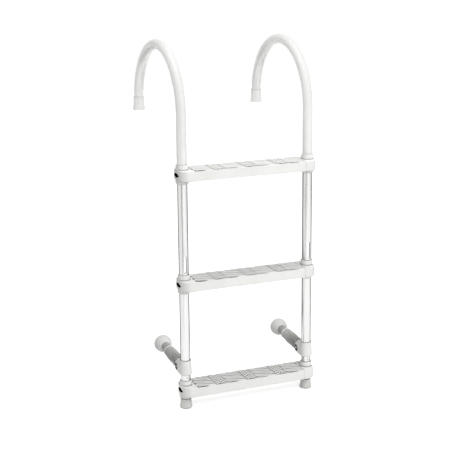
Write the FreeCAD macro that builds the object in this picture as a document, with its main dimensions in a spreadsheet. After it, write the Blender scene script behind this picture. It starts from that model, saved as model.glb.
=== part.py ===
import FreeCAD, Part
import math
import os

import Sketcher

# Gunwale boarding ladder: two tube rails, three moulded treads with wavy grip ribs, two bent
# hooks and two hinged standoffs with round pads.
# Frame: X runs along the treads, +Y from the climber towards the hull, +Z up.
# Origin: midway between the hooks, at the inside of their crowns, where they hang.

# Driving dimensions in millimetres, and the arm's tilt in degrees.
SIZES = {
    # Main layout
    "rail_spacing": 342.0,
    "tread_pitch": 280.0,
    "deck_drop": 280.0,
    "hook_radius": 160.0,
    # Tubes
    "tube_od": 25.0,
    "rail_wall": 1.5,
    "hook_wall": 1.5,
    "tube_clearance": 0.2,
    "sleeve_clearance": 0.1,
    "sleeve_start": 3.0,
    "hook_tail": 20.0,
    # Oblong window in the rails, above the middle tread
    "window_length": 44.0,
    "window_width": 6.0,
    "window_lift": 19.0,
    # Treads
    "seam_inset": 20.0,
    "tread_depth": 70.0,
    "tread_height": 25.0,
    "deck_wall": 2.8,
    "deck_plate": 3.0,
    "edge_round": 1.0,
    # Wavy grip ribs on the decks
    "grip_pitch": 10.6,
    "grip_width": 7.0,
    "grip_height": 1.5,
    "grip_swing": 10.0,
    "grip_narrow": 31.0,
    "grip_channel": 2.6,
    "grip_overrun": 2.5,
    "grip_margin": 2.0,
    "grip_end_margin": 3.0,
    # Stiffening ribs under the decks
    "rib_thickness": 2.0,
    "long_rib_depth": 14.0,
    "cross_rib_depth": 9.0,
    "cross_rib_pitch": 41.0,
    # Tread ends
    "end_overhang": 15.5,
    "end_corner": 26.0,
    "end_proud": 0.6,
    "end_wall": 4.5,
    "end_plate": 4.0,
    "end_hollow_corner": 16.0,
    "end_round": 3.5,
    "collar_wall": 3.2,
    "collar_rise": 13.0,
    "lower_collar_wall": 4.0,
    "lower_collar_round": 3.0,
    "collar_below": 9.5,
    "bore_clearance": 0.15,
    "end_slot_length": 35.0,
    "end_slot_height": 11.0,
    "end_slot_depth": 6.0,
    # Feet
    "foot_gap": 2.2,
    "foot_height": 24.8,
    "foot_floor": 5.0,
    "foot_top_diameter": 27.6,
    "foot_bottom_diameter": 32.0,
    "foot_flare": 14.0,
    # Hook tips
    "tip_length": 34.0,
    "tip_overrun": 8.5,
    "tip_clearance": 0.4,
    "tip_floor": 5.0,
    "tip_top_diameter": 28.2,
    "tip_bottom_diameter": 33.0,
    "tip_flare": 20.0,
    # Standoff brackets
    "bracket_lift": 29.0,
    "bracket_height": 38.0,
    "bracket_top_diameter": 29.6,
    "bracket_bottom_diameter": 33.2,
    "bracket_back": 2.8,
    "cheek_half_width": 15.5,
    "cheek_gap": 22.0,
    "cheek_top_reach": 17.0,
    "cheek_heel": 12.0,
    "cheek_radius": 11.0,
    "pivot_back": 27.5,
    "pivot_height": 14.0,
    "bolt_diameter": 6.0,
    "bolt_head_diameter": 8.0,
    "bolt_head_height": 0.7,
    "washer_diameter": 17.0,
    "washer_thickness": 2.0,
    "washer_bed": 1.6,
    "washer_clearance": 0.1,
    # Standoff arms
    "arm_tilt": 5.0,
    "tongue_gap": 0.35,
    "tongue_radius": 9.8,
    "tongue_depth": 14.0,
    "pin_clearance": 0.3,
    "barrel_start": 22.0,
    "barrel_belly": 58.0,
    "arm_length": 95.0,
    "barrel_start_diameter": 25.0,
    "barrel_belly_diameter": 33.0,
    "barrel_end_diameter": 28.4,
    "rim_diameter": 30.4,
    "rim_width": 3.0,
    "stem_diameter": 15.0,
    "stem_length": 20.0,
    "stem_clearance": 0.1,
    # Pads
    "neck_diameter": 19.0,
    "neck_ring_diameter": 23.5,
    "neck_step": 3.4,
    "bell_start": 26.0,
    "bell_start_diameter": 27.0,
    "bell_length": 23.0,
    "pad_diameter": 47.0,
    "pad_nose": 13.0,
    "pad_face_diameter": 34.0,
}

SIDES = (("left", -1), ("right", 1))
TREADS = ("top", "middle", "bottom")
NECK_RINGS = 3

doc = FreeCAD.newDocument("boarding_ladder")


def make_sheet():
    """The sheet of driving dimensions, one named cell a row."""
    made = doc.addObject("Spreadsheet::Sheet", "Sizes")
    for row, (name, value) in enumerate(SIZES.items(), start=1):
        made.set(f"A{row}", name)
        made.set(f"B{row}", str(value))
        made.setAlias(f"B{row}", name)
    doc.recompute()
    return made


sheet = make_sheet()


def bound(text, cells="Sizes."):
    """An expression with each size's name turned into its cell."""
    words = text.replace("(", " ( ").replace(")", " ) ").split()
    named = " ".join(cells + word if word in SIZES else word for word in words)
    return named.replace("floor (", "floor(")


def sheet_value(text):
    """The present value of an expression of sizes, which the sheet reads by their bare names."""
    return float(sheet.evalExpression(bound(text, "")))


def flare_centre(small, large, length):
    """Where an arc is centred that starts upright at the small radius and flares to the large."""
    step = f"( {large} - {small} )"
    return f"{small} + ( {step} ^ 2 + ( {length} ) ^ 2 ) / ( 2 * {step} )"


# Heights and lengths that several pieces share, as expressions.
HOOK_CENTRE_Z = "tube_od / 2 - hook_radius"
DECK_Z = {"top": "- deck_drop",
          "middle": "- deck_drop - tread_pitch",
          "bottom": "- deck_drop - 2 * tread_pitch"}
FOOT_TOP_Z = DECK_Z["bottom"] + " - tread_height - collar_below - foot_gap"
FOOT_BOTTOM_Z = FOOT_TOP_Z + " - foot_height"
RAIL_BOTTOM_Z = FOOT_BOTTOM_Z + " + foot_floor"
RAIL_TOP_Z = DECK_Z["top"] + " - sleeve_start"
HOOK_TAIL_Z = DECK_Z["middle"] + " + hook_tail"
TIP_Z = HOOK_CENTRE_Z + " - ( tip_length - tip_overrun )"
TUBE_END_Z = TIP_Z + " + tip_floor"
BRACKET_Z = DECK_Z["bottom"] + " + bracket_lift"
PIVOT_Z = BRACKET_Z + " + pivot_height"
PIVOT_Y = "pivot_back - hook_radius"
RAIL_INNER = "tube_od - 2 * rail_wall"
HOOK_OUTER = "tube_od - 2 * rail_wall - 2 * tube_clearance"
HOOK_INNER = HOOK_OUTER + " - 2 * hook_wall"
SLEEVE_INNER = HOOK_OUTER + " + 2 * sleeve_clearance"
BORE = "tube_od + 2 * bore_clearance"
DECK_HALF = "( rail_spacing / 2 - seam_inset )"
END_HALF_DEPTH = "( tread_depth / 2 + end_proud )"
TONGUE_HALF = "( cheek_gap / 2 - tongue_gap )"
WASHER_SEAT = "( cheek_half_width - washer_bed )"
BOLT_SEAT = "( cheek_half_width - washer_bed + washer_thickness )"
GRIP_FIELD = "( tread_depth / 2 - grip_margin )"

# As many cross ribs as fit the tray at their pitch, and as many grip ribs as reach the deck.
CROSS_REACH = f"( {DECK_HALF} - deck_wall - rib_thickness )"
CROSS_RIBS = f"( 2 * floor( {CROSS_REACH} / cross_rib_pitch ) + 1 )"
GRIP_RIBS = f"( 2 * floor( ( {GRIP_FIELD} + grip_swing ) / grip_pitch ) + 1 )"


def new_body(label, x="0", y="0", z="0"):
    """A body of its own, placed by expressions."""
    body = doc.addObject("PartDesign::Body", label)
    body.Label = label
    for axis, text in (("x", x), ("y", y), ("z", z)):
        body.setExpression(f"Placement.Base.{axis}", bound(text))
    return body


def clone(label, source, x, y, z):
    """A body of its own with the same form as another."""
    body = new_body(label, x, y, z)
    form = body.newObject("PartDesign::FeatureBase", f"{label}_form")
    form.BaseFeature = source
    body.Tip = form
    doc.recompute()
    return body


def sketch_on(body, plane, name, offset="0"):
    """A sketch on one of the body's origin planes, moved along the plane's normal."""
    sketch = body.newObject("Sketcher::SketchObject", name)
    support = [f for f in body.Origin.OriginFeatures if f.Role == plane][0]
    sketch.AttachmentSupport = (support, [""])
    sketch.MapMode = "FlatFace"
    if offset != "0":
        sketch.setExpression("AttachmentOffset.Base.z", bound(offset))
    return sketch


def hold(sketch, kind, geometry, end, text):
    """Holds one coordinate of a point, as an expression of sizes."""
    value = sheet_value(text)
    index = sketch.addConstraint(Sketcher.Constraint(kind, -1, 1, geometry, end, value))
    sketch.setExpression(f"Constraints[{index}]", bound(text))


def pin_point(sketch, geometry, end, across, up):
    """Holds a point at two signed distances from the sketch's origin."""
    hold(sketch, "DistanceX", geometry, end, across)
    hold(sketch, "DistanceY", geometry, end, up)


def size_curve(sketch, kind, geometry, text):
    """Binds a circle's or arc's diameter or radius to sizes."""
    index = sketch.addConstraint(Sketcher.Constraint(kind, geometry, sheet_value(text)))
    sketch.setExpression(f"Constraints[{index}]", bound(text))


def add_arc(sketch, start, end, centre_x):
    """The shorter arc from start to end about a centre at centre_x, with its two end marks."""
    lean = (start.x - centre_x) ** 2 - (end.x - centre_x) ** 2
    centre_y = (lean + start.y ** 2 - end.y ** 2) / (2 * (start.y - end.y))
    centre = FreeCAD.Vector(centre_x, centre_y, 0)
    circle = Part.Circle(centre, FreeCAD.Vector(0, 0, 1), (start - centre).Length)
    begin = math.atan2(start.y - centre.y, start.x - centre.x)
    finish = math.atan2(end.y - centre.y, end.x - centre.x)
    turn = math.remainder(finish - begin, 2 * math.pi)
    if turn > 0:
        return sketch.addGeometry(Part.ArcOfCircle(circle, begin, begin + turn)), 1, 2
    return sketch.addGeometry(Part.ArcOfCircle(circle, begin + turn, begin)), 2, 1


def add_outline(sketch, points, arcs=None):
    """A closed outline through points given as pairs of expressions.

    Side i runs from point i to the next. It is straight, or where arcs names it, an arc whose
    centre lies at that distance across.
    """
    arcs = arcs or {}
    places = [FreeCAD.Vector(sheet_value(a), sheet_value(b), 0) for a, b in points]
    sides = []
    for i, start in enumerate(places):
        end = places[(i + 1) % len(places)]
        if i in arcs:
            sides.append(add_arc(sketch, start, end, sheet_value(arcs[i])))
        else:
            sides.append((sketch.addGeometry(Part.LineSegment(start, end)), 1, 2))
    for i, (side, first, last) in enumerate(sides):
        following, after_first, _ = sides[(i + 1) % len(sides)]
        sketch.addConstraint(Sketcher.Constraint("Coincident", side, last, following, after_first))
        pin_point(sketch, side, first, *points[i])
        if i in arcs:
            hold(sketch, "DistanceX", side, 3, arcs[i])


def add_eye_outline(sketch, corners, centre, radius):
    """An outline of straight sides whose open end closes with a tangent arc round a centre.

    The corners run clockwise, from the one above the arc's end round to the one below it.
    """
    places = [FreeCAD.Vector(sheet_value(a), sheet_value(b), 0) for a, b in corners]
    middle = FreeCAD.Vector(sheet_value(centre[0]), sheet_value(centre[1]), 0)
    reach = sheet_value(radius)
    top = middle + FreeCAD.Vector(0, reach, 0)
    bottom = middle - FreeCAD.Vector(0, reach, 0)
    side = 1 if places[0].x < middle.x else -1
    nose = middle + FreeCAD.Vector(side * reach, 0, 0)
    lines = [sketch.addGeometry(Part.LineSegment(a, b)) for a, b in zip(places, places[1:])]
    ends = (bottom, top) if side > 0 else (top, bottom)
    eye = sketch.addGeometry(Part.Arc(ends[0], nose, ends[1]))
    upper = sketch.addGeometry(Part.LineSegment(top, places[0]))
    lower = sketch.addGeometry(Part.LineSegment(places[-1], bottom))
    upper_end, lower_end = (2, 1) if side > 0 else (1, 2)
    sketch.addConstraint(Sketcher.Constraint("Tangent", eye, upper_end, upper, 1))
    sketch.addConstraint(Sketcher.Constraint("Tangent", lower, 2, eye, lower_end))
    chain = [upper] + lines + [lower]
    for before, after in zip(chain, chain[1:]):
        sketch.addConstraint(Sketcher.Constraint("Coincident", before, 2, after, 1))
    for line, corner in zip(chain, corners):
        pin_point(sketch, line, 2, *corner)
    pin_point(sketch, eye, 3, *centre)
    size_curve(sketch, "Radius", eye, radius)


def rectangle(half_x, half_y):
    """The corners of a rectangle about the origin."""
    return [(f"- ( {half_x} )", f"- ( {half_y} )"), (half_x, f"- ( {half_y} )"),
            (half_x, half_y), (f"- ( {half_x} )", half_y)]


def add_circle(sketch, diameter, across="0", up="0"):
    """A circle with its diameter and centre bound to sizes."""
    centre = FreeCAD.Vector(sheet_value(across), sheet_value(up), 0)
    radius = sheet_value(diameter) / 2
    index = sketch.addGeometry(Part.Circle(centre, FreeCAD.Vector(0, 0, 1), radius))
    size_curve(sketch, "Diameter", index, diameter)
    pin_point(sketch, index, 3, across, up)


def add_slot(sketch, low, length, width):
    """An upright oblong with round ends, centred on the sketch's vertical axis."""
    half = sheet_value(width) / 2
    lower = FreeCAD.Vector(0, sheet_value(low) + half, 0)
    upper = FreeCAD.Vector(0, sheet_value(low) + sheet_value(length) - half, 0)
    across = FreeCAD.Vector(half, 0, 0)
    up = FreeCAD.Vector(0, half, 0)
    right = sketch.addGeometry(Part.LineSegment(lower + across, upper + across))
    cap = sketch.addGeometry(Part.Arc(upper + across, upper + up, upper - across))
    left = sketch.addGeometry(Part.LineSegment(upper - across, lower - across))
    base = sketch.addGeometry(Part.Arc(lower - across, lower - up, lower + across))
    for first, second in ((right, cap), (cap, left), (left, base), (base, right)):
        sketch.addConstraint(Sketcher.Constraint("Tangent", first, 2, second, 1))
    pin_point(sketch, base, 3, "0", f"{low} + {width} / 2")
    pin_point(sketch, cap, 3, "0", f"{low} + {length} - {width} / 2")
    size_curve(sketch, "Radius", cap, f"{width} / 2")


def pad(body, sketch, length, reverse=False, middle=False):
    """Material pushed out from a sketch."""
    feature = body.newObject("PartDesign::Pad", sketch.Name + "_pad")
    feature.Profile = sketch
    feature.setExpression("Length", bound(length))
    feature.Reversed = reverse
    feature.Midplane = middle
    doc.recompute()
    return feature


def pocket(body, sketch, length, reverse=False, middle=False):
    """Material cut away from a sketch, with proof that something was cut."""
    before = body.Shape.Volume
    feature = body.newObject("PartDesign::Pocket", sketch.Name + "_cut")
    feature.Profile = sketch
    feature.setExpression("Length", bound(length))
    feature.Reversed = reverse
    feature.Midplane = middle
    doc.recompute()
    if not body.Shape.Volume < before:
        raise RuntimeError(f"{feature.Name} cut nothing")
    return feature


def revolve(body, sketch, axis):
    """Material turned about one of the sketch's own axes."""
    feature = body.newObject("PartDesign::Revolution", sketch.Name + "_turn")
    feature.Profile = sketch
    feature.ReferenceAxis = (sketch, [axis])
    feature.Angle = 360
    doc.recompute()
    return feature


def repeat(body, feature, axis, pitch, count):
    """Copies of a feature in a row along one of its sketch's axes."""
    row = body.newObject("PartDesign::LinearPattern", feature.Name + "_row")
    row.Originals = [feature]
    row.Direction = (feature.Profile[0], [axis])
    row.Mode = "Spacing"
    row.setExpression("Offset", bound(pitch))
    row.setExpression("Occurrences", bound(count))
    body.Tip = row
    doc.recompute()
    return row


def round_edges(body, radius, wanted):
    """Rounds the edges that the test wanted(edge) picks."""
    names = []
    for i, edge in enumerate(body.Tip.Shape.Edges, start=1):
        if wanted(edge):
            names.append(f"Edge{i}")
    base = body.Tip
    feature = body.newObject("PartDesign::Fillet", base.Name + "_round")
    feature.Base = (base, names)
    feature.setExpression("Radius", bound(radius))
    doc.recompute()
    return feature


def near(a, b):
    """True where two lengths are the same."""
    return abs(a - b) < 1e-4


def level_at(edge, z):
    """True for an edge that lies flat at a height."""
    return near(edge.BoundBox.ZMin, z) and near(edge.BoundBox.ZMax, z)


def ring_at(z, radius):
    """Test for round edges at a height, of one radius."""
    def wanted(edge):
        round_one = isinstance(edge.Curve, Part.Circle)
        return level_at(edge, z) and round_one and near(edge.Curve.Radius, radius)
    return wanted


def is_upright(edge):
    """True for a straight edge that stands along Z."""
    box = edge.BoundBox
    return near(box.XLength, 0) and near(box.YLength, 0) and box.ZLength > 1


def on_x(edge, x):
    """True for an edge whose middle is at x."""
    return near(edge.BoundBox.Center.x, x)


def along_x(edge):
    """True for a straight edge along X."""
    return near(edge.BoundBox.YLength, 0) and near(edge.BoundBox.ZLength, 0)


def make_rail(side, sign):
    """Aluminium tube rail with the oblong window above the middle tread."""
    body = new_body(f"rail_{side}", f"{sign} * rail_spacing / 2", "- hook_radius", RAIL_BOTTOM_Z)
    section = sketch_on(body, "XY_Plane", f"rail_section_{side}")
    add_circle(section, "tube_od")
    add_circle(section, RAIL_INNER)
    pad(body, section, f"{RAIL_TOP_Z} - ( {RAIL_BOTTOM_Z} )")
    window = sketch_on(body, "XZ_Plane", f"rail_window_{side}")
    low = f"{DECK_Z['middle']} + window_lift - ( {RAIL_BOTTOM_Z} )"
    add_slot(window, low, "window_length", "window_width")
    pocket(body, window, "tube_od", reverse=True)
    return body


def make_bent_tube(label, sign, outer, inner, start_z):
    """A tube that follows the hook: up from start_z, over the crown and down to the tip."""
    body = new_body(label, f"{sign} * rail_spacing / 2")
    section = sketch_on(body, "XY_Plane", f"{label}_section", start_z)
    add_circle(section, outer, "0", "- hook_radius")
    add_circle(section, inner, "0", "- hook_radius")
    path = sketch_on(body, "YZ_Plane", f"{label}_path")
    radius = sheet_value("hook_radius")
    crown = sheet_value(HOOK_CENTRE_Z)
    start = FreeCAD.Vector(-radius, sheet_value(start_z), 0)
    front = FreeCAD.Vector(-radius, crown, 0)
    top = FreeCAD.Vector(0, crown + radius, 0)
    far = FreeCAD.Vector(radius, crown, 0)
    end = FreeCAD.Vector(radius, sheet_value(TUBE_END_Z), 0)
    rise = path.addGeometry(Part.LineSegment(start, front))
    bend = path.addGeometry(Part.Arc(far, top, front))
    drop = path.addGeometry(Part.LineSegment(far, end))
    path.addConstraint(Sketcher.Constraint("Coincident", rise, 2, bend, 2))
    path.addConstraint(Sketcher.Constraint("Coincident", bend, 1, drop, 1))
    pin_point(path, rise, 1, "- hook_radius", start_z)
    pin_point(path, bend, 3, "0", HOOK_CENTRE_Z)
    pin_point(path, rise, 2, "- hook_radius", HOOK_CENTRE_Z)
    pin_point(path, drop, 2, "hook_radius", TUBE_END_Z)
    hold(path, "DistanceY", drop, 1, HOOK_CENTRE_Z)
    doc.recompute()
    pipe = body.newObject("PartDesign::AdditivePipe", f"{label}_sweep")
    pipe.Profile = section
    pipe.Spine = (path, ["Edge1", "Edge2", "Edge3"])
    doc.recompute()
    return body


def make_hook_tip(side, sign):
    """End cap over the open end of the hook, with a hollow flare towards its round foot."""
    body = new_body(f"hook_tip_{side}", f"{sign} * rail_spacing / 2", "hook_radius", TIP_Z)
    half = sketch_on(body, "XZ_Plane", f"tip_profile_{side}")
    narrow = "tip_top_diameter / 2"
    wide = "tip_bottom_diameter / 2"
    hole = "( tube_od / 2 + tip_clearance )"
    add_outline(half, [
        ("0", "0"),
        (wide, "0"),
        (wide, "tip_floor / 2"),
        (narrow, "tip_floor / 2 + tip_flare"),
        (narrow, "tip_length"),
        (hole, "tip_length"),
        (hole, "tip_floor"),
        ("0", "tip_floor"),
    ], {2: flare_centre(narrow, wide, "tip_flare")})
    revolve(body, half, "V_Axis")
    round_edges(body, "tip_floor / 2 - edge_round / 2", ring_at(0, sheet_value(wide)))
    return body


def make_foot(side, sign):
    """Ferrule on the rail's lower end, straight at first and flared at the sole."""
    body = new_body(f"foot_{side}", f"{sign} * rail_spacing / 2", "- hook_radius", FOOT_BOTTOM_Z)
    half = sketch_on(body, "XZ_Plane", f"foot_profile_{side}")
    narrow = "foot_top_diameter / 2"
    wide = "foot_bottom_diameter / 2"
    add_outline(half, [
        ("0", "0"),
        (wide, "0"),
        (wide, "foot_floor"),
        (narrow, "foot_floor + foot_flare"),
        (narrow, "foot_height"),
        (f"( {BORE} ) / 2", "foot_height"),
        (f"( {BORE} ) / 2", "foot_floor"),
        ("0", "foot_floor"),
    ], {2: flare_centre(narrow, wide, "foot_flare")})
    revolve(body, half, "V_Axis")
    round_edges(body, "foot_floor / 2", ring_at(0, sheet_value(wide)))
    return body


def make_decks():
    """The three moulded treads between their ends, all of one form."""
    first = make_deck(TREADS[0])
    others = [clone(f"tread_{name}", first, "0", "- hook_radius", DECK_Z[name])
              for name in TREADS[1:]]
    return [first] + others


def make_deck(name):
    """Moulded tread between its two ends: a ribbed tray below, wavy grip ribs on top."""
    body = new_body(f"tread_{name}", "0", "- hook_radius", DECK_Z[name])
    outline = sketch_on(body, "XY_Plane", f"tread_outline_{name}")
    add_outline(outline, rectangle(DECK_HALF, "tread_depth / 2"))
    pad(body, outline, "tread_height", reverse=True)
    round_edges(body, "edge_round", along_x)
    inside = sketch_on(body, "XY_Plane", f"tread_inside_{name}", "- tread_height")
    add_outline(inside, rectangle(f"{DECK_HALF} - deck_wall", "tread_depth / 2 - deck_wall"))
    pocket(body, inside, "tread_height - deck_plate", reverse=True)
    add_stiffeners(body, name)
    add_grip(body, name)
    return body


def add_stiffeners(body, name):
    """One long rib down the middle of the tray and a row of shallow ones across it."""
    long_rib = sketch_on(body, "XY_Plane", f"long_rib_{name}", "- deck_plate")
    add_outline(long_rib, rectangle(f"{DECK_HALF} - deck_wall / 2", "rib_thickness / 2"))
    pad(body, long_rib, "long_rib_depth", reverse=True)
    cross = sketch_on(body, "XY_Plane", f"cross_rib_{name}", "- deck_plate")
    first = f"- cross_rib_pitch * ( {CROSS_RIBS} - 1 ) / 2"
    reach = "( tread_depth / 2 - deck_wall / 2 )"
    add_outline(cross, [(f"{first} - rib_thickness / 2", f"- {reach}"),
                        (f"{first} + rib_thickness / 2", f"- {reach}"),
                        (f"{first} + rib_thickness / 2", reach),
                        (f"{first} - rib_thickness / 2", reach)])
    repeat(body, pad(body, cross, "cross_rib_depth", reverse=True), "H_Axis",
           "cross_rib_pitch", CROSS_RIBS)


def wave_crests():
    """Where the grip's wave turns, left to right: wide bays fall, narrow bays rise."""
    wide = f"( ( {DECK_HALF} + grip_overrun - 1.5 * grip_narrow ) / 2 )"
    right = ["grip_narrow / 2", f"grip_narrow / 2 + {wide}", f"1.5 * grip_narrow + {wide}",
             f"1.5 * grip_narrow + 2 * {wide}"]
    return [f"- ( {x} )" for x in reversed(right)] + right


def add_grip(body, name):
    """A row of wavy ribs, trimmed to a field and parted by drain channels where they turn."""
    band = sketch_on(body, "XY_Plane", f"grip_band_{name}")
    first = f"- grip_pitch * ( {GRIP_RIBS} - 1 ) / 2"
    crests = wave_crests()
    line = []
    centres = []
    for i, x in enumerate(crests):
        height = "+ grip_swing" if i % 2 == 0 else "- grip_swing"
        line.append((x, f"{first} {height}"))
        if i + 1 < len(crests):
            line.append((f"( {x} + ( {crests[i + 1]} ) ) / 2", first))
            centres += [x, crests[i + 1]]
    lower = [(x, f"{y} - grip_width / 2") for x, y in line]
    upper = [(x, f"{y} + grip_width / 2") for x, y in reversed(line)]
    arcs = dict(enumerate(centres))
    arcs.update({len(line) + i: x for i, x in enumerate(reversed(centres))})
    add_outline(band, lower + upper, arcs)
    repeat(body, pad(body, band, "grip_height"), "V_Axis", "grip_pitch", GRIP_RIBS)
    trim = sketch_on(body, "XY_Plane", f"grip_trim_{name}", "grip_height")
    add_outline(trim, rectangle(f"{DECK_HALF} + 2 * grip_overrun", "tread_depth + grip_swing"))
    add_outline(trim, rectangle(f"{DECK_HALF} - grip_end_margin", GRIP_FIELD))
    pocket(body, trim, "grip_height")
    channels = sketch_on(body, "XY_Plane", f"grip_channels_{name}", "grip_height")
    for x in crests[1:-1]:
        left = f"{x} - grip_channel / 2"
        right = f"{x} + grip_channel / 2"
        add_outline(channels, [(left, f"- {GRIP_FIELD}"), (right, f"- {GRIP_FIELD}"),
                               (right, GRIP_FIELD), (left, GRIP_FIELD)])
    pocket(body, channels, "grip_height")


def make_tread_ends(side, sign):
    """The three rounded ends on one rail, all of one form."""
    first = make_tread_end(TREADS[0], side, sign)
    others = [clone(f"tread_end_{name}_{side}", first, f"{sign} * rail_spacing / 2",
                    "- hook_radius", DECK_Z[name])
              for name in TREADS[1:]]
    return [first] + others


def make_tread_end(name, side, sign):
    """Rounded moulded end that grips the rail, with a collar above and below."""
    body = new_body(f"tread_end_{name}_{side}", f"{sign} * rail_spacing / 2", "- hook_radius",
                    DECK_Z[name])
    tag = f"{name}_{side}"
    seam = f"- {sign} * seam_inset"
    outer = f"{sign} * end_overhang"
    block = sketch_on(body, "XY_Plane", f"end_block_{tag}", "end_proud")
    add_outline(block, [(seam, f"- {END_HALF_DEPTH}"), (outer, f"- {END_HALF_DEPTH}"),
                        (outer, END_HALF_DEPTH), (seam, END_HALF_DEPTH)])
    pad(body, block, "tread_height + 2 * end_proud", reverse=True)
    reach = sheet_value(outer)
    round_edges(body, "end_corner", lambda edge: is_upright(edge) and on_x(edge, reach))
    joint = sheet_value(seam)
    for radius, level in (("edge_round", "end_proud"), ("end_round", "- tread_height - end_proud")):
        z = sheet_value(level)
        round_edges(body, radius, lambda edge: level_at(edge, z) and not on_x(edge, joint))
    hollow_out_end(body, tag, sign, seam)
    add_collars(body, tag)
    cut_end_slot(body, tag, sign, outer)
    return body


def hollow_out_end(body, tag, sign, seam):
    """The hollow under the end, with round corners that leave the outer wall whole."""
    hollow = sketch_on(body, "XY_Plane", f"end_hollow_{tag}", "- tread_height - end_proud")
    near_side = f"{seam} + {sign} * end_wall"
    far_side = f"{sign} * ( end_overhang - end_slot_depth - end_wall )"
    corner = f"{far_side} - {sign} * end_hollow_corner"
    depth = f"( {END_HALF_DEPTH} - end_wall )"
    flank = f"( {END_HALF_DEPTH} - end_wall - end_hollow_corner )"
    add_outline(hollow, [(near_side, f"- {depth}"), (corner, f"- {depth}"),
                         (far_side, f"- {flank}"), (far_side, flank),
                         (corner, depth), (near_side, depth)], {1: corner, 3: corner})
    pocket(body, hollow, "tread_height + end_proud - end_plate", reverse=True)


def add_collars(body, tag):
    """The collar above the end, the wider one below it, and the rail's bore through both."""
    bottom = "- tread_height - end_proud - collar_below"
    collar = sketch_on(body, "XY_Plane", f"end_collar_{tag}", "collar_rise")
    add_circle(collar, "tube_od + 2 * collar_wall")
    pad(body, collar, "collar_rise + tread_height", reverse=True)
    lower = sketch_on(body, "XY_Plane", f"end_lower_collar_{tag}", "- tread_height - collar_below")
    add_circle(lower, "tube_od + 2 * lower_collar_wall")
    pad(body, lower, "collar_below + end_round")
    round_edges(body, "collar_wall / 2",
                ring_at(sheet_value("collar_rise"), sheet_value("tube_od / 2 + collar_wall")))
    round_edges(body, "lower_collar_round",
                ring_at(sheet_value("- tread_height - collar_below"),
                        sheet_value("tube_od / 2 + lower_collar_wall")))
    bore = sketch_on(body, "XY_Plane", f"end_bore_{tag}", bottom)
    add_circle(bore, BORE)
    pocket(body, bore, "2 * ( tread_height + collar_below + collar_rise )", reverse=True)


def cut_end_slot(body, tag, sign, outer):
    """The leaf-shaped recess in the end's outer face."""
    slot = sketch_on(body, "YZ_Plane", f"end_slot_{tag}", outer)
    middle = "- tread_height / 2"
    add_outline(slot, [("- end_slot_length / 2", middle),
                       ("0", f"{middle} - end_slot_height / 2"),
                       ("end_slot_length / 2", middle),
                       ("0", f"{middle} + end_slot_height / 2")],
                {0: "0", 1: "0", 2: "0", 3: "0"})
    pocket(body, slot, "end_slot_depth", reverse=sign < 0)


def make_bracket(side, sign):
    """Tapered collar round the rail with two cheeks behind it that hold the arm's tongue."""
    body = new_body(f"standoff_bracket_{side}", f"{sign} * rail_spacing / 2", "- hook_radius",
                    BRACKET_Z)
    half = sketch_on(body, "XZ_Plane", f"bracket_profile_{side}")
    add_outline(half, [("0", "0"), ("bracket_bottom_diameter / 2", "0"),
                       ("bracket_top_diameter / 2", "bracket_height"), ("0", "bracket_height")])
    revolve(body, half, "V_Axis")
    round_edges(body, "bracket_back", ring_at(0, sheet_value("bracket_bottom_diameter / 2")))
    cheeks = sketch_on(body, "YZ_Plane", f"bracket_cheeks_{side}")
    add_eye_outline(cheeks, [("cheek_top_reach", "bracket_height"), ("0", "bracket_height"),
                             ("0", "edge_round"), ("cheek_heel", "edge_round")],
                    ("pivot_back", "pivot_height"), "cheek_radius")
    pad(body, cheeks, "2 * cheek_half_width", middle=True)
    slot_front = "( tube_od / 2 + bracket_back )"
    slot = sketch_on(body, "XY_Plane", f"bracket_slot_{side}")
    add_outline(slot, [("- cheek_gap / 2", slot_front), ("cheek_gap / 2", slot_front),
                       ("cheek_gap / 2", "2 * pivot_back"), ("- cheek_gap / 2", "2 * pivot_back")])
    pocket(body, slot, "3 * bracket_height", middle=True)
    bore = sketch_on(body, "XY_Plane", f"bracket_bore_{side}")
    add_circle(bore, BORE)
    pocket(body, bore, "3 * bracket_height", middle=True)
    hole = sketch_on(body, "YZ_Plane", f"bracket_hole_{side}")
    add_circle(hole, "bolt_diameter + 2 * bore_clearance", "pivot_back", "pivot_height")
    pocket(body, hole, "3 * cheek_half_width", middle=True)
    for face, way in (("left", -1), ("right", 1)):
        bed = sketch_on(body, "YZ_Plane", f"bracket_bed_{face}_{side}",
                        f"{way} * cheek_half_width")
        add_circle(bed, "washer_diameter + 2 * washer_clearance", "pivot_back", "pivot_height")
        pocket(body, bed, "washer_bed", reverse=way < 0)
    return body


def pivot_body(label, sign):
    """A body in the standoff's own frame: pivot at the origin, arm along +Y, tilted up."""
    body = new_body(label, f"{sign} * rail_spacing / 2", PIVOT_Y, PIVOT_Z)
    body.Placement.Rotation = FreeCAD.Rotation(FreeCAD.Vector(1, 0, 0), 1)
    body.setExpression("Placement.Rotation.Angle", bound("arm_tilt"))
    return body


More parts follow.
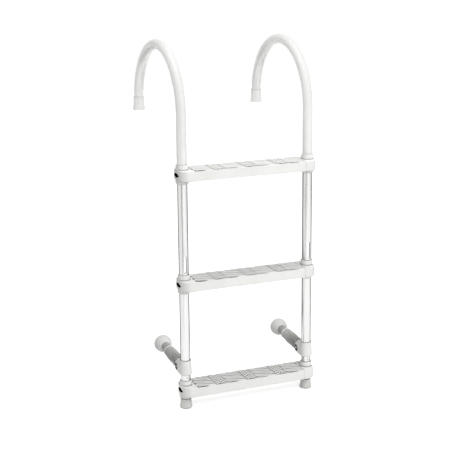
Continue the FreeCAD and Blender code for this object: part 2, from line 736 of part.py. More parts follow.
def make_arm(side, sign):
    """Standoff arm: a bellied barrel with a rim at the pad end and a tongue at the pivot."""
    body = pivot_body(f"standoff_arm_{side}", sign)
    half = sketch_on(body, "YZ_Plane", f"arm_profile_{side}")
    stem_hole = "( stem_diameter / 2 + stem_clearance )"
    add_outline(half, [
        ("barrel_start", "0"),
        ("barrel_start", "barrel_start_diameter / 2"),
        ("barrel_belly", "barrel_belly_diameter / 2"),
        ("arm_length - rim_width", "barrel_end_diameter / 2"),
        ("arm_length - rim_width", "rim_diameter / 2"),
        ("arm_length", "rim_diameter / 2"),
        ("arm_length", stem_hole),
        ("arm_length - stem_length", stem_hole),
        ("arm_length - stem_length", "0"),
    ], {1: "barrel_belly", 2: "barrel_belly"})
    revolve(body, half, "H_Axis")
    tongue = sketch_on(body, "YZ_Plane", f"arm_tongue_{side}")
    root = "barrel_start + tongue_depth"
    add_eye_outline(tongue, [(root, "barrel_start_diameter / 2"),
                             (root, "- barrel_start_diameter / 2")],
                    ("0", "0"), "tongue_radius")
    pad(body, tongue, f"2 * {TONGUE_HALF}", middle=True)
    hole = sketch_on(body, "YZ_Plane", f"arm_hole_{side}")
    add_circle(hole, "bolt_diameter + 2 * pin_clearance")
    pocket(body, hole, f"4 * {TONGUE_HALF}", middle=True)
    return body


def make_pad(side, sign):
    """Bell-shaped soft pad on a stepped neck, with its stem in the arm."""
    body = pivot_body(f"standoff_pad_{side}", sign)
    half = sketch_on(body, "YZ_Plane", f"pad_profile_{side}")
    neck = "neck_diameter / 2"
    ring = "neck_ring_diameter / 2"
    bell = "arm_length + bell_start"
    crest = f"{bell} + bell_length"
    face = f"{crest} + pad_nose"
    outline = [
        ("arm_length - stem_length + stem_clearance", "0"),
        ("arm_length - stem_length + stem_clearance", "stem_diameter / 2"),
        ("arm_length + stem_clearance", "stem_diameter / 2"),
        ("arm_length + stem_clearance", neck),
    ]
    for step in range(1, 2 * NECK_RINGS, 2):
        near = f"arm_length + {step} * neck_step"
        far = f"arm_length + {step + 1} * neck_step"
        outline += [(near, neck), (near, ring), (far, ring), (far, neck)]
    back = len(outline) + 1
    outline += [
        (bell, neck),
        (bell, "bell_start_diameter / 2"),
        (crest, "pad_diameter / 2"),
        (face, "pad_face_diameter / 2"),
        (face, "0"),
    ]
    add_outline(half, outline, {back: crest, back + 1: crest})
    revolve(body, half, "H_Axis")
    return body


def make_bolt(side, sign):
    """Pivot bolt with a low domed head outside each cheek."""
    body = pivot_body(f"pivot_bolt_{side}", sign)
    half = sketch_on(body, "XZ_Plane", f"bolt_profile_{side}")
    tip = f"( {BOLT_SEAT} + bolt_head_height )"
    dome = f"( {tip} - bolt_head_height / 2 - bolt_head_diameter ^ 2 / ( 8 * bolt_head_height ) )"
    add_outline(half, [
        (f"- {tip}", "0"),
        (f"- {BOLT_SEAT}", "bolt_head_diameter / 2"),
        (f"- {BOLT_SEAT}", "bolt_diameter / 2"),
        (BOLT_SEAT, "bolt_diameter / 2"),
        (BOLT_SEAT, "bolt_head_diameter / 2"),
        (tip, "0"),
    ], {0: f"- {dome}", 4: dome})
    revolve(body, half, "H_Axis")
    return body


def make_washer(side, sign, face, way):
    """Dark washer let into the bracket's cheek under the bolt head."""
    body = pivot_body(f"pivot_washer_{side}_{face}", sign)
    ring = sketch_on(body, "YZ_Plane", f"washer_ring_{side}_{face}", f"{way} * {WASHER_SEAT}")
    add_circle(ring, "washer_diameter")
    add_circle(ring, "bolt_diameter + 2 * washer_clearance")
    pad(body, ring, "washer_thickness", reverse=way < 0)
    return body


def make_ladder():
    """Every sub-part of the ladder."""
    made = []
    for side, sign in SIDES:
        made.append(make_rail(side, sign))
        made.append(make_bent_tube(f"hook_arm_{side}", sign, HOOK_OUTER, HOOK_INNER, HOOK_TAIL_Z))
        made.append(make_bent_tube(f"hook_sleeve_{side}", sign, "tube_od", SLEEVE_INNER,
                                   RAIL_TOP_Z))
        made.append(make_hook_tip(side, sign))
        made.append(make_foot(side, sign))
        made += make_tread_ends(side, sign)
        made.append(make_bracket(side, sign))
        made.append(make_arm(side, sign))
        made.append(make_pad(side, sign))
        made.append(make_bolt(side, sign))
        made.append(make_washer(side, sign, "left", -1))
        made.append(make_washer(side, sign, "right", 1))
    return made + make_decks()


def check(parts):
    """Stops on any failed object or unsound sub-part."""
    for item in doc.Objects:
        if "Invalid" in item.State or "Error" in item.State:
            raise RuntimeError(f"{item.Label} did not build: {item.State}")
    for item in parts:
        shape = item.Shape
        if shape.isNull() or not shape.isValid() or len(shape.Solids) != 1:
            raise RuntimeError(f"{item.Label} is not one sound solid")


ladder = make_ladder()
doc.recompute()
check(ladder)
os.makedirs("parts", exist_ok=True)
for item in ladder:
    item.Shape.exportStep(f"parts/{item.Label}.step")
    print(item.Label, round(item.Shape.Volume / 1000, 2), "cm3")
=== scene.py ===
import math

import bmesh
import bpy
from mathutils import Matrix, Vector


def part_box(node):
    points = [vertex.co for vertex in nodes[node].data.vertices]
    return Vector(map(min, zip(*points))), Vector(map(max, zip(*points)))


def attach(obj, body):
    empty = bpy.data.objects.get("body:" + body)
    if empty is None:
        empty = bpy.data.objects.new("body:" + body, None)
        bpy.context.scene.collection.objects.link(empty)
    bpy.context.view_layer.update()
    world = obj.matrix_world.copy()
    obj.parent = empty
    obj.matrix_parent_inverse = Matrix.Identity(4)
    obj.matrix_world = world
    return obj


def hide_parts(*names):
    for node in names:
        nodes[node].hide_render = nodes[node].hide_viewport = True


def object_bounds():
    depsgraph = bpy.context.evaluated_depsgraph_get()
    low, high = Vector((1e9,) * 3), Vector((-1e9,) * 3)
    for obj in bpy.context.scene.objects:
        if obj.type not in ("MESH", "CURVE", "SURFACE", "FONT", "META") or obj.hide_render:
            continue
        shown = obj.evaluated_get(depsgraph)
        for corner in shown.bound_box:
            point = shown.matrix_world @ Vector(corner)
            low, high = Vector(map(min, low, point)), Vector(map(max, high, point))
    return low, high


# Looks, light and camera of the boarding ladder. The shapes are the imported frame's own, but for
# the rails' rivets and the tread ends, whose recess is opened across the collar's barrel.
# Lengths are in metres, and colours are linear.

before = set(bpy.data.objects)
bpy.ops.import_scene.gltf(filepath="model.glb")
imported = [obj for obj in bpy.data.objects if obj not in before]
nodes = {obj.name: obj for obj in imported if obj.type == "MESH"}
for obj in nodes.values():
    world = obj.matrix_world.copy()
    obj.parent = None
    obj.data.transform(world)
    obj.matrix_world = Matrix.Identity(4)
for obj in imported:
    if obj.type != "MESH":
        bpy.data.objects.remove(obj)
cad_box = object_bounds()

# The photograph's viewing angle, fitted to the ladder's measured points.
CAMERA = {"azimuth": -22.60, "elevation": 14.0, "roll": 0.51, "distance": 2.957,
          "target": (-0.0515, -0.160, -0.4381), "focal_px": 1174.0}
IMAGE_WIDTH_PX = 455
SENSOR_WIDTH_MM = 36.0

# Treads repeat at this pitch. The lift keeps heights above nought and puts a deck in mid pitch.
TREAD_PITCH = 0.280
TREAD_LIFT = 3.5 * TREAD_PITCH

# The plane of the rails, and the middle of a tread's thickness, measured up from its deck.
RAIL_PLANE = -0.160
DECK_MIDDLE = -0.0125

# The grip: the ribs' height, their pitch across the tread, the wave's length along it, the wide
# bay in each wave, and how steeply the ribs fall there.
GRIP_HEIGHT = 0.0015
RIB_PITCH = 0.0106
WAVE_LENGTH = 0.0845
WIDE_BAY = 0.0535
RIB_FALL = 0.374

# Drain channels run at the wide bays' ends, either side of the middle.
BAY_ENDS = ((WAVE_LENGTH - WIDE_BAY) / 2, (WAVE_LENGTH + WIDE_BAY) / 2)
CHANNELS = (*BAY_ENDS, WAVE_LENGTH + BAY_ENDS[0])
CHANNEL_HALF = 0.0013

# Dust and painted shade in the grooves: the levels over which they start and end, their colour,
# how much of them the narrow bays and the channels hold, the softness of their edges there, and
# their patches. The whole waves keep places along the tread above nought.
SHADE_AND_DUST_FOOT = (-0.0004, -0.0001)
SHADE_AND_DUST_TOP = (0.80 * GRIP_HEIGHT, 0.98 * GRIP_HEIGHT)
GROOVE_SHADE_DUST_COLOUR = (0.10, 0.10, 0.097)
NARROW_SHADE_AND_DUST = 0.75
CHANNEL_SHADE_AND_DUST = 0.45
BAY_EDGE = 0.001
CHANNEL_EDGE = 0.0002
PATCH_FINENESS = (18.0, 80.0, 1.0)
WHOLE_WAVES = 3

WARM_WHITE = (0.87, 0.87, 0.85)
PALE_GREY = (0.83, 0.83, 0.81)

# Painted shade in creases and recesses: how far away it minds another surface, how open a point
# is where the shade is full and where it ends, from nought when shut to one, and its colours.
CREASE_REACH = 0.005
TUBE_CREASE_REACH = 0.008
RECESS_REACH = 0.012
CREASE_OPENNESS = (0.52, 0.86)
RECESS_OPENNESS = (0.22, 0.44)
OPENNESS_SAMPLES = 8
TUBE_CREASE_SHADE = (0.06, 0.06, 0.06)
CREASE_SHADE = (0.24, 0.24, 0.235)
SOFT_CREASE_SHADE = (0.50, 0.50, 0.49)
HOOK_CREASE_SHADE = (0.70, 0.70, 0.70)
GROOVE_CREASE_SHADE = (0.74, 0.74, 0.725)
RECESS_SHADE_BLACK = (0.015, 0.015, 0.015)
PLAIN_SPECULAR = 0.5

# Moulded plastic: how fine its clouds, flecks and gloss are, how dark a fleck is beside the
# shade, how far the gloss wanders, and how deep the grain is.
CLOUD_SCALE = 14.0
FLECK_SCALE = 420.0
GLOSS_SCALE = 60.0
FLECK_SHADE = 0.82
GLOSS_SWING = 0.07
GRAIN_DEPTH = 0.00012

# Drawn tube: what it reflects at a glancing angle, how fine its lines and clouds are, how dark a
# cloud is beside the shade, how far the gloss wanders, and the lines' depth.
EDGE_TINT = (0.24, 0.24, 0.25)
LINE_FINENESS = (900.0, 900.0, 7.0)
TUBE_CLOUD_SCALE = 9.0
TUBE_CLOUD_FINENESS = (1.0, 1.0, 0.4)
WORN_SHADE = 0.88
DRAWN_GLOSS = (-0.05, 0.08)
LINE_DEPTH = 0.00004

# A rail is painted black, as shade, within this distance of the middle of a tread's thickness,
# where it shows only through the recess of the tread end.
SHADED_BAND = 0.008

# Washer rubber: its black and its bloom, and how fine the bloom and the grain are.
RUBBER_BLACKS = ((0.008, 0.008, 0.008), (0.025, 0.025, 0.025))
BLOOM_SCALE = 500.0
RUBBER_GRAIN_SCALE = 1500.0
RUBBER_GRAIN_DEPTH = 0.0001

# The standoff arms: their tilt at rest, the pivot's place along their axis, how far from the
# pivot the barrel gets painted shade, where the white rim begins, and their greys.
ARM_TILT = math.radians(5.0)
PIVOT_ALONG = -0.1325 * math.cos(ARM_TILT) - 0.797 * math.sin(ARM_TILT)
SHADED_REACH = (0.012, 0.070)
RIM_START = 0.0902
RIM_EDGE = 0.0003
ARM_GREYS = ((0.56, 0.56, 0.54), (0.46, 0.46, 0.44))
STREAK_GREY = (0.36, 0.36, 0.345)
STREAK_FINENESS = (420.0, 9.0, 420.0)
SHADED_GREY = (0.24, 0.24, 0.23)

# The leaf-shaped recess in a tread end: its half length and half height, how far out from the
# part's middle it is painted black as shade, up to just inside the end's face, how much farther
# the cut goes to pass the collar's barrel, how much larger than the leaf the cut and the painted
# shade are, and how far the upper collar rises above the deck.
LEAF_HALF_LENGTH = 0.0175
LEAF_HALF_HEIGHT = 0.0055
LEAF_DEPTHS = (0.1800, 0.1863)
CUT_DEPTH = 0.0010
CUT_MARGIN = 0.00005
BLACK_MARGINS = (0.0002, 0.00015)
COLLAR_RISE = 0.013
LEAF_STEPS = 24
WELD_DISTANCE = 1e-6

# Edges sharper than this stay sharp.
SMOOTH_LIMIT = math.radians(32.0)

# Half the outline of a rivet's domed head: radius and height.
RIVET_HEAD = ((0.0024, -0.0004), (0.0024, 0.0002), (0.0021, 0.0006), (0.0014, 0.0009),
              (0.0006, 0.00105), (0.0, 0.0011))
RIVET_SIDES = 40

# Studio light: the level of the world's light, and two soft lamps.
WORLD_LEVEL = 0.34
LAMP_SIZE = 1.6
LAMPS = {"key": {"place": (0.60, -2.8, 1.20), "target": (0.0, -0.1, -0.35), "power": 49.0},
         "top": {"place": (0.0, -0.4, 2.30), "target": (0.0, -0.1, -0.40), "power": 48.0}}

# The floor: half its side, its grey, how much it glows near and far, and from where to where
# that changes.
FLOOR_HALF = 6.0
FLOOR_GREY = 0.8
FLOOR_GLOW = 0.66
FLOOR_FAR_GLOW = 1.25 * FLOOR_GLOW
FLOOR_GLOW_REACH = (1.5, 4.0)
MATT = 0.9

# Dark flags that only gloss sees: bearing from the front in degrees towards the right, distance,
# width, top, tone, and how near the ladder the foot along the floor ends.
FLAG_CLEARANCE = 0.001
FLAGS = {"flag_right": {"bearing": 95.0, "reach": 0.65, "width": 0.40, "high": -0.40,
                        "tone": 0.12, "foot": 0.30},
         "flag_left": {"bearing": -135.0, "reach": 0.65, "width": 0.40, "high": -0.30,
                       "tone": 0.12, "foot": 0.30},
         "flag_front": {"bearing": -38.0, "reach": 1.50, "width": 0.50, "high": -0.40,
                        "tone": 0.62, "foot": 1.49}}


def new_surface(name, roughness, metallic=0.0):
    """A material with its node tree and its shader, at a given roughness."""
    made = bpy.data.materials.new(name)
    made.use_nodes = True
    shader = made.node_tree.nodes["Principled BSDF"]
    shader.inputs["Roughness"].default_value = roughness
    shader.inputs["Metallic"].default_value = metallic
    return made, made.node_tree, shader


def position(tree):
    """Where a point of the surface lies in the part's own frame."""
    return tree.nodes.new("ShaderNodeTexCoord").outputs["Object"]


def noise(tree, scale, fineness=(1.0, 1.0, 1.0), detail=2.0):
    """A soft random pattern fixed to the part, with its own fineness along each axis."""
    mapping = tree.nodes.new("ShaderNodeMapping")
    mapping.inputs["Scale"].default_value = fineness
    tree.links.new(position(tree), mapping.inputs["Vector"])
    texture = tree.nodes.new("ShaderNodeTexNoise")
    texture.inputs["Scale"].default_value = scale
    texture.inputs["Detail"].default_value = detail
    tree.links.new(mapping.outputs["Vector"], texture.inputs["Vector"])
    return texture.outputs["Fac"]


def spread(tree, value, source, target):
    """A value moved from one range to another and held inside it."""
    node = tree.nodes.new("ShaderNodeMapRange")
    node.interpolation_type = "SMOOTHSTEP"
    for name, number in zip(("From Min", "From Max", "To Min", "To Max"), source + target):
        node.inputs[name].default_value = number
    tree.links.new(value, node.inputs["Value"])
    return node.outputs["Result"]


def between(tree, share, first, second):
    """A colour between two, each a colour or another node's output."""
    node = tree.nodes.new("ShaderNodeMix")
    node.data_type = "RGBA"
    tree.links.new(share, node.inputs["Factor"])
    for slot, colour in (("A", first), ("B", second)):
        socket = [s for s in node.inputs if s.name == slot and s.type == "RGBA"][0]
        if isinstance(colour, tuple):
            socket.default_value = (*colour, 1.0)
        else:
            tree.links.new(colour, socket)
    return [s for s in node.outputs if s.type == "RGBA"][0]


def combine(tree, operation, first, second=0.0):
    """One or two values through one arithmetic step."""
    node = tree.nodes.new("ShaderNodeMath")
    node.operation = operation
    for i, value in enumerate((first, second)):
        if isinstance(value, (int, float)):
            node.inputs[i].default_value = value
        else:
            tree.links.new(value, node.inputs[i])
    return node.outputs[0]


def distance_from(tree, value, middle):
    """How far a value lies from another, either way."""
    return combine(tree, "ABSOLUTE", combine(tree, "SUBTRACT", value, middle))


def creases(tree, reach, openness):
    """One where surfaces close in within reach, falling to nought in the open."""
    node = tree.nodes.new("ShaderNodeAmbientOcclusion")
    node.samples = OPENNESS_SAMPLES
    node.inputs["Distance"].default_value = reach
    return spread(tree, node.outputs["AO"], openness, (1.0, 0.0))


def crease_shaded(tree, colour, crease_shade, reach=CREASE_REACH):
    """A colour darkened as painted shade in the creases, and near black in deep recesses."""
    soft = between(tree, creases(tree, reach, CREASE_OPENNESS), colour, crease_shade)
    return between(tree, creases(tree, RECESS_REACH, RECESS_OPENNESS), soft, RECESS_SHADE_BLACK)


def roughen(tree, shader, height, depth, strength):
    """Small bumps from a pattern, depth being their real height."""
    bump = tree.nodes.new("ShaderNodeBump")
    bump.inputs["Distance"].default_value = depth
    bump.inputs["Strength"].default_value = strength
    tree.links.new(height, bump.inputs["Height"])
    tree.links.new(bump.outputs["Normal"], shader.inputs["Normal"])


def height_in_pitch(tree, middle):
    """How far a point lies above a level that repeats with each tread, and its coordinates."""
    split = tree.nodes.new("ShaderNodeSeparateXYZ")
    tree.links.new(position(tree), split.inputs[0])
    above = combine(tree, "ADD", split.outputs["Z"], TREAD_LIFT - middle)
    height = combine(tree, "SUBTRACT", combine(tree, "MODULO", above, TREAD_PITCH),
                     TREAD_PITCH / 2)
    return height, split.outputs


def moulded_plastic(name, light, shade, roughness, grain=900.0, crease_shade=CREASE_SHADE, relief=0.35):
    """White moulding: cloudy tone, fine grain, painted shade in creases, and gloss that wanders a
    little.
    """
    made, tree, shader = new_surface(name, roughness)
    cloud = spread(tree, noise(tree, CLOUD_SCALE, detail=3.0), (0.35, 0.68), (0.0, 1.0))
    tone = between(tree, cloud, light, shade)
    fleck = spread(tree, noise(tree, FLECK_SCALE), (0.60, 0.74), (0.0, 0.30))
    flecked = between(tree, fleck, tone, tuple(FLECK_SHADE * c for c in shade))
    colour = crease_shaded(tree, flecked, crease_shade)
    tree.links.new(colour, shader.inputs["Base Color"])
    gloss = spread(tree, noise(tree, GLOSS_SCALE), (0.3, 0.7),
                   (roughness - GLOSS_SWING, roughness + GLOSS_SWING))
    tree.links.new(gloss, shader.inputs["Roughness"])
    roughen(tree, shader, noise(tree, grain, detail=4.0), GRAIN_DEPTH, relief)
    return made, tree, shader, colour


def groove_shade_and_dust(tree, place):
    """The share of dust and painted shade in a groove: every other one in the wide bays, all in
    patches.
    """
    along = combine(tree, "MODULO", combine(tree, "ADD", place["X"], WHOLE_WAVES * WAVE_LENGTH),
                    WAVE_LENGTH)
    from_bay = combine(tree, "SUBTRACT", along, WAVE_LENGTH / 2)
    across = combine(tree, "ADD", combine(tree, "SUBTRACT", place["Y"], RAIL_PLANE),
                     combine(tree, "MULTIPLY", from_bay, RIB_FALL))
    swing = combine(tree, "SINE", combine(tree, "MULTIPLY", across, math.pi / RIB_PITCH))
    every_other = spread(tree, swing, (-0.25, 0.25), (0.0, 1.0))
    narrow = spread(tree, combine(tree, "ABSOLUTE", from_bay),
                    (WIDE_BAY / 2 - BAY_EDGE, WIDE_BAY / 2), (0.0, NARROW_SHADE_AND_DUST))
    patches = spread(tree, noise(tree, 1.0, PATCH_FINENESS), (0.40, 0.62), (0.55, 1.0))
    return combine(tree, "MULTIPLY", combine(tree, "MAXIMUM", every_other, narrow), patches)


def deck_plastic():
    """The treads' moulding, with dust and painted shade that darken the grooves between the grip
    ribs.
    """
    made, tree, shader, colour = moulded_plastic("tread_moulding", WARM_WHITE, PALE_GREY,
                                                 roughness=0.50, crease_shade=GROOVE_CREASE_SHADE)
    height, place = height_in_pitch(tree, 0.0)
    # Dust and painted shade: the grooves between the grip ribs turn darker.
    groove = combine(tree, "MULTIPLY", spread(tree, height, SHADE_AND_DUST_TOP, (1.0, 0.0)),
                     spread(tree, height, SHADE_AND_DUST_FOOT, (0.0, 1.0)))
    shaded_and_dusty = combine(tree, "MULTIPLY", groove, groove_shade_and_dust(tree, place))
    aside = combine(tree, "ABSOLUTE", place["X"])
    for middle in CHANNELS:
        thinned = spread(tree, distance_from(tree, aside, middle),
                       (CHANNEL_HALF, CHANNEL_HALF + CHANNEL_EDGE), (CHANNEL_SHADE_AND_DUST, 1.0))
        shaded_and_dusty = combine(tree, "MULTIPLY", shaded_and_dusty, thinned)
    tree.links.new(between(tree, shaded_and_dusty, colour, GROOVE_SHADE_DUST_COLOUR), shader.inputs["Base Color"])
    return made


def paint_shade_black(tree, shader, colour, inside):
    """Painted shade: black without gloss where inside is one, and the given colour elsewhere."""
    tree.links.new(between(tree, inside, colour, RECESS_SHADE_BLACK), shader.inputs["Base Color"])
    tree.links.new(spread(tree, inside, (0.0, 1.0), (PLAIN_SPECULAR, 0.0)),
                   shader.inputs["Specular IOR Level"])


def end_plastic():
    """The tread ends' moulding, painted black as shade inside the leaf-shaped recess of the outer
    face.
    """
    made, tree, shader, colour = moulded_plastic("end_moulding", WARM_WHITE, PALE_GREY,
                                                 roughness=0.46)
    height, place = height_in_pitch(tree, DECK_MIDDLE)
    out = combine(tree, "ABSOLUTE", place["X"])
    share = combine(tree, "DIVIDE", combine(tree, "SUBTRACT", place["Y"], RAIL_PLANE),
                    LEAF_HALF_LENGTH + BLACK_MARGINS[0])
    fall = combine(tree, "SUBTRACT", 1.0, combine(tree, "MULTIPLY", share, share))
    edge = combine(tree, "MULTIPLY", fall, LEAF_HALF_HEIGHT + BLACK_MARGINS[1])
    inside = combine(tree, "LESS_THAN", combine(tree, "ABSOLUTE", height), edge)
    for operation, limit in zip(("GREATER_THAN", "LESS_THAN"), LEAF_DEPTHS):
        inside = combine(tree, "MULTIPLY", inside, combine(tree, operation, out, limit))
    paint_shade_black(tree, shader, colour, inside)
    return made


def arm_plastic():
    """The arms' grey moulding: streaked, with painted shade on the barrel near the pivot, and a
    white rim.
    """
    made, tree, shader, colour = moulded_plastic("arm_moulding", *ARM_GREYS, roughness=0.46)
    streak = spread(tree, noise(tree, 1.0, STREAK_FINENESS), (0.42, 0.62), (0.0, 0.55))
    streaked = between(tree, streak, colour, STREAK_GREY)
    along = tree.nodes.new("ShaderNodeVectorMath")
    along.operation = "DOT_PRODUCT"
    along.inputs[1].default_value = (0.0, math.cos(ARM_TILT), math.sin(ARM_TILT))
    tree.links.new(position(tree), along.inputs[0])
    reach = combine(tree, "SUBTRACT", along.outputs["Value"], PIVOT_ALONG)
    # Painted shade: the barrel darkens towards the pivot.
    barrel = between(tree, spread(tree, reach, SHADED_REACH, (0.75, 0.0)), streaked, SHADED_GREY)
    rim = spread(tree, reach, (RIM_START, RIM_START + RIM_EDGE), (0.0, 1.0))
    tree.links.new(between(tree, rim, barrel, WARM_WHITE), shader.inputs["Base Color"])
    return made


def coated_tube(name, light, shade):
    """White satin coating on bright tube, which takes its tone from the room around it."""
    made, _, shader, _ = moulded_plastic(name, light, shade, roughness=0.50, grain=1300.0,
                                         crease_shade=SOFT_CREASE_SHADE, relief=0.04)
    shader.inputs["Metallic"].default_value = 0.55
    return made


def drawn_aluminium(name, light, shade, roughness, crease_shade):
    """Bright drawn tube: fine lines lengthwise, painted shade in creases, black shade where tread
    ends hide it.
    """
    made, tree, shader = new_surface(name, roughness, metallic=1.0)
    shader.inputs["Specular Tint"].default_value = (*EDGE_TINT, 1.0)
    shader.inputs["Anisotropic"].default_value = 0.45
    lines = noise(tree, 1.0, LINE_FINENESS, detail=3.0)
    cloud = noise(tree, TUBE_CLOUD_SCALE, TUBE_CLOUD_FINENESS, detail=3.0)
    tone = between(tree, spread(tree, lines, (0.35, 0.7), (0.0, 1.0)), light, shade)
    worn = between(tree, spread(tree, cloud, (0.5, 0.75), (0.0, 0.35)), tone,
                   tuple(WORN_SHADE * c for c in shade))
    colour = crease_shaded(tree, worn, crease_shade, TUBE_CREASE_REACH)
    # Painted shade: the rail turns black and glossless where it shows through a tread end's
    # recess.
    height, _ = height_in_pitch(tree, DECK_MIDDLE)
    band_shade = combine(tree, "LESS_THAN", combine(tree, "ABSOLUTE", height), SHADED_BAND)
    paint_shade_black(tree, shader, colour, band_shade)
    gloss = spread(tree, lines, (0.3, 0.7), tuple(roughness + change for change in DRAWN_GLOSS))
    tree.links.new(gloss, shader.inputs["Roughness"])
    roughen(tree, shader, lines, LINE_DEPTH, 0.25)
    return made


def black_rubber():
    """Washer rubber: near black with a dusty bloom."""
    made, tree, shader = new_surface("washer_black", 0.6)
    bloom = spread(tree, noise(tree, BLOOM_SCALE, detail=3.0), (0.4, 0.75), (0.0, 1.0))
    tree.links.new(between(tree, bloom, *RUBBER_BLACKS), shader.inputs["Base Color"])
    shader.inputs["Specular IOR Level"].default_value = 0.05
    roughen(tree, shader, noise(tree, RUBBER_GRAIN_SCALE), RUBBER_GRAIN_DEPTH, 0.4)
    return made


def paint(mesh, made):
    """Gives a mesh one material in place of its own."""
    mesh.materials.clear()
    mesh.materials.append(made)


def dress(prefixes, made):
    """Gives a material to every node whose name starts with one of the prefixes."""
    for name, piece in nodes.items():
        if name.startswith(prefixes):
            paint(piece.data, made)


def new_object(name, data):
    """An object in the scene, with its mesh, lamp or camera."""
    made = bpy.data.objects.new(name, data)
    bpy.context.scene.collection.objects.link(made)
    return made


def mesh_from(name, work):
    """A mesh from a finished bmesh, which is freed."""
    mesh = bpy.data.meshes.new(name)
    work.to_mesh(mesh)
    work.free()
    return mesh


def aimed(place, axis):
    """A matrix that sets something at a place with its Z along an axis."""
    return Matrix.Translation(Vector(place)) @ axis.to_track_quat("Z", "Y").to_matrix().to_4x4()


def smooth(piece):
    """Smooth shading that keeps sharp edges."""
    piece.data.shade_smooth()
    work = bmesh.new()
    work.from_mesh(piece.data)
    for edge in work.edges:
        if len(edge.link_faces) == 2:
            edge.smooth = edge.calc_face_angle() < SMOOTH_LIMIT
    work.to_mesh(piece.data)
    work.free()


def leaf_cutter(side, level):
    """A closed prism of the recess's outline, from inside the end's face to past the barrel."""
    half_length, half_height = LEAF_HALF_LENGTH + CUT_MARGIN, LEAF_HALF_HEIGHT + CUT_MARGIN
    radius = (half_length ** 2 + half_height ** 2) / (2 * half_height)
    across = [half_length * (2 * i / LEAF_STEPS - 1) for i in range(LEAF_STEPS + 1)]
    rise = [math.sqrt(radius ** 2 - y ** 2) - (radius - half_height) for y in across]
    outline = list(zip(across, rise)) + [(y, -z) for y, z in zip(across[-2:0:-1], rise[-2:0:-1])]
    work = bmesh.new()
    rings = [[work.verts.new((side * x, RAIL_PLANE + y, level + z)) for y, z in outline]
             for x in (LEAF_DEPTHS[1], LEAF_DEPTHS[1] + CUT_DEPTH)]
    work.faces.new(rings[0])
    work.faces.new(list(reversed(rings[1])))
    for i in range(len(outline)):
        j = (i + 1) % len(outline)
        work.faces.new([rings[0][i], rings[1][i], rings[1][j], rings[0][j]])
    bmesh.ops.recalc_face_normals(work, faces=work.faces)
    return new_object("leaf_cutter", mesh_from("leaf_cutter", work))


def welded_copy(mesh):
    """A copy of a mesh with its corners joined and its stored normals dropped, fit to be cut."""
    copy = mesh.copy()
    if "custom_normal" in copy.attributes:
        copy.attributes.remove(copy.attributes["custom_normal"])
    work = bmesh.new()
    work.from_mesh(copy)
    bmesh.ops.remove_doubles(work, verts=work.verts, dist=WELD_DISTANCE)
    work.to_mesh(copy)
    work.free()
    return copy


def cut_out(piece, cutter):
    """Takes the cutter's shape out of a piece, and the cutter out of the scene."""
    cut = piece.modifiers.new("recess", "BOOLEAN")
    cut.operation = "DIFFERENCE"
    cut.solver = "EXACT"
    cut.object = cutter
    graph = bpy.context.evaluated_depsgraph_get()
    opened = bpy.data.meshes.new_from_object(piece.evaluated_get(graph))
    piece.modifiers.clear()
    piece.data = opened
    bpy.data.objects.remove(cutter)


def open_recess(name, finish):
    """A tread end in its node's place, with the recess open across the collar's barrel too."""
    piece = new_object(f"{name}_moulding", welded_copy(nodes[name].data))
    side = -1 if name.endswith("left") else 1
    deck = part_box(name)[1].z - COLLAR_RISE
    cut_out(piece, leaf_cutter(side, deck + DECK_MIDDLE))
    smooth(piece)
    paint(piece.data, finish)
    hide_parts(name)
    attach(piece, "frame")


def turned(name, profile, place, facing):
    """A piece turned about its own axis from (radius, height) points, set at a place."""
    angles = [2 * math.pi * i / RIVET_SIDES for i in range(RIVET_SIDES)]
    work = bmesh.new()
    rings = [[work.verts.new((radius * math.cos(angle), radius * math.sin(angle), height))
              for angle in (angles if radius else angles[:1])] for radius, height in profile]
    for lower, upper in zip(rings, rings[1:]):
        for i in range(RIVET_SIDES):
            j = (i + 1) % RIVET_SIDES
            top = [upper[j], upper[i]] if len(upper) > 1 else [upper[0]]
            work.faces.new([lower[i], lower[j]] + top)
    work.faces.new(list(reversed(rings[0])))
    work.normal_update()
    piece = new_object(name, mesh_from(name, work))
    piece.matrix_world = aimed(place, Vector(facing))
    smooth(piece)
    return piece


def add_rivets(finish):
    """A domed rivet on each rail's front, between the bottom tread's collar and the bracket."""
    for side in ("left", "right"):
        low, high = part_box(f"rail_{side}")
        _, collar_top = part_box(f"tread_end_bottom_{side}")
        bracket_low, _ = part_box(f"standoff_bracket_{side}")
        centre = ((low.x + high.x) / 2, low.y, (collar_top.z + bracket_low.z) / 2)
        rivet = turned(f"rail_rivet_{side}", RIVET_HEAD, centre, (0, -1, 0))
        rivet.data.materials.append(finish)
        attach(rivet, "frame")


def seen_rays(tree):
    """One for rays that the eye, metal or glass looks along, and nought for light's own."""
    path = tree.nodes.new("ShaderNodeLightPath")
    seen = combine(tree, "MAXIMUM", path.outputs["Is Camera Ray"], path.outputs["Is Glossy Ray"])
    return combine(tree, "MAXIMUM", seen, path.outputs["Is Transmission Ray"])


def light_world():
    """White to the eye, and a soft even light at a lower level on the object."""
    world = bpy.data.worlds.new("studio")
    bpy.context.scene.world = world
    world.use_nodes = True
    tree = world.node_tree
    background = tree.nodes["Background"]
    background.inputs["Color"].default_value = (1.0, 1.0, 1.0, 1.0)
    strength = spread(tree, seen_rays(tree), (0.0, 1.0), (WORLD_LEVEL, 1.0))
    tree.links.new(strength, background.inputs["Strength"])


def add_lamp(name, place, target, power):
    """A square soft lamp aimed at a point."""
    lamp = bpy.data.lights.new(name, "AREA")
    lamp.size = LAMP_SIZE
    lamp.energy = power
    holder = new_object(name, lamp)
    holder.visible_glossy = False
    holder.matrix_world = aimed(place, Vector(place) - Vector(target))


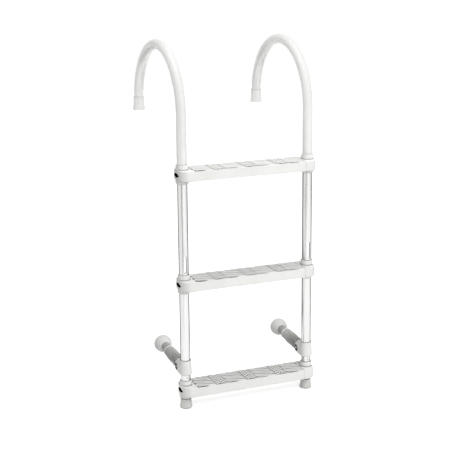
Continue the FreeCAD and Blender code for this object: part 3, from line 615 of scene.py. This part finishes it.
def add_flag(name, bearing, reach, width, high, tone, foot):
    """A dark studio flag that only gloss sees, to draw the edges of white and bright pieces.

    It stands just clear of the floor, facing the ladder, with a foot that runs towards it.
    """
    turn = math.radians(bearing)
    low = cad_box[0].z + FLAG_CLEARANCE
    out = Vector((math.sin(turn), -math.cos(turn), 0.0))
    aside = Vector((math.cos(turn), math.sin(turn), 0.0)) * width / 2
    corners = [out * away + side * aside + Vector((0.0, 0.0, z))
               for away, z in ((foot, low), (reach, low), (reach, high))
               for side in (-1, 1)]
    mesh = bpy.data.meshes.new(name)
    mesh.from_pydata(corners, [], [(0, 1, 3, 2), (2, 3, 5, 4)])
    flag = new_object(name, mesh)
    made, _, shader = new_surface(name, MATT)
    shader.inputs["Base Color"].default_value = (tone, tone, tone, 1.0)
    mesh.materials.append(made)
    flag.visible_camera = False
    flag.visible_diffuse = False
    flag.visible_shadow = False
    flag.visible_transmission = False


def lay_floor():
    """A white floor that glows a little to the eye, so that only shadows show on it."""
    height = cad_box[0].z
    mesh = bpy.data.meshes.new("floor")
    corners = [(FLOOR_HALF * x, FLOOR_HALF * y, height)
               for x, y in ((-1, -1), (1, -1), (1, 1), (-1, 1))]
    mesh.from_pydata(corners, [], [(0, 1, 2, 3)])
    floor = new_object("floor", mesh)
    made, tree, shader = new_surface("floor_white", MATT)
    shader.inputs["Base Color"].default_value = (FLOOR_GREY, FLOOR_GREY, FLOOR_GREY, 1.0)
    shader.inputs["Specular IOR Level"].default_value = 0.0
    shader.inputs["Emission Color"].default_value = (1.0, 1.0, 1.0, 1.0)
    away = tree.nodes.new("ShaderNodeVectorMath")
    away.operation = "LENGTH"
    tree.links.new(position(tree), away.inputs[0])
    level = spread(tree, away.outputs["Value"], FLOOR_GLOW_REACH, (FLOOR_GLOW, FLOOR_FAR_GLOW))
    strength = combine(tree, "MULTIPLY", seen_rays(tree), level)
    tree.links.new(strength, shader.inputs["Emission Strength"])
    mesh.materials.append(made)


def set_camera():
    """The camera at the photograph's angle, distance and field of view."""
    turn = math.radians(CAMERA["azimuth"])
    rise = math.radians(CAMERA["elevation"])
    back = Vector((math.sin(turn) * math.cos(rise), -math.cos(turn) * math.cos(rise),
                   math.sin(rise)))
    lens = bpy.data.cameras.new("camera")
    lens.sensor_width = SENSOR_WIDTH_MM
    lens.lens = CAMERA["focal_px"] / IMAGE_WIDTH_PX * SENSOR_WIDTH_MM
    camera = new_object("camera", lens)
    place = Vector(CAMERA["target"]) + CAMERA["distance"] * back
    roll = Matrix.Rotation(-math.radians(CAMERA["roll"]), 4, "Z")
    camera.matrix_world = aimed(place, back) @ roll
    bpy.context.scene.camera = camera


rail_metal = drawn_aluminium("rail_metal", light=(0.68, 0.68, 0.675), shade=(0.56, 0.56, 0.555),
                             roughness=0.22, crease_shade=TUBE_CREASE_SHADE)
hook_metal = drawn_aluminium("hook_metal", light=(0.88, 0.88, 0.875), shade=(0.78, 0.78, 0.775),
                             roughness=0.30, crease_shade=HOOK_CREASE_SHADE)
end_moulding = end_plastic()
sleeve_coating = coated_tube("sleeve_coating", light=(0.83, 0.83, 0.815),
                             shade=(0.79, 0.79, 0.775))
tip_moulding = coated_tube("tip_moulding", light=(0.84, 0.84, 0.825), shade=(0.80, 0.80, 0.785))
foot_moulding = moulded_plastic("foot_moulding", light=(0.78, 0.78, 0.76),
                                shade=(0.70, 0.70, 0.68), roughness=0.52, grain=800.0)[0]
pad_moulding = moulded_plastic("pad_moulding", light=(0.80, 0.80, 0.78), shade=(0.72, 0.72, 0.70),
                               roughness=0.55, grain=700.0, crease_shade=TUBE_CREASE_SHADE)[0]
cap_moulding = moulded_plastic("cap_moulding", light=(0.72, 0.72, 0.705),
                               shade=(0.64, 0.64, 0.625), roughness=0.35)[0]

dress(("rail_",), rail_metal)
dress(("hook_arm_",), hook_metal)
dress(("hook_sleeve_",), sleeve_coating)
dress(("hook_tip_",), tip_moulding)
dress(("foot_",), foot_moulding)
dress(("tread_top", "tread_middle", "tread_bottom"), deck_plastic())
dress(("tread_end_", "standoff_bracket_"), end_moulding)
dress(("standoff_arm_",), arm_plastic())
dress(("standoff_pad_",), pad_moulding)
dress(("pivot_bolt_",), cap_moulding)
dress(("pivot_washer_",), black_rubber())
for end in [name for name in nodes if name.startswith("tread_end_")]:
    open_recess(end, end_moulding)
add_rivets(rail_metal)

light_world()
for lamp_name, settings in LAMPS.items():
    add_lamp(lamp_name, **settings)
lay_floor()
for flag_name, settings in FLAGS.items():
    add_flag(flag_name, **settings)
set_camera()
bpy.context.scene.view_settings.view_transform = "Standard"
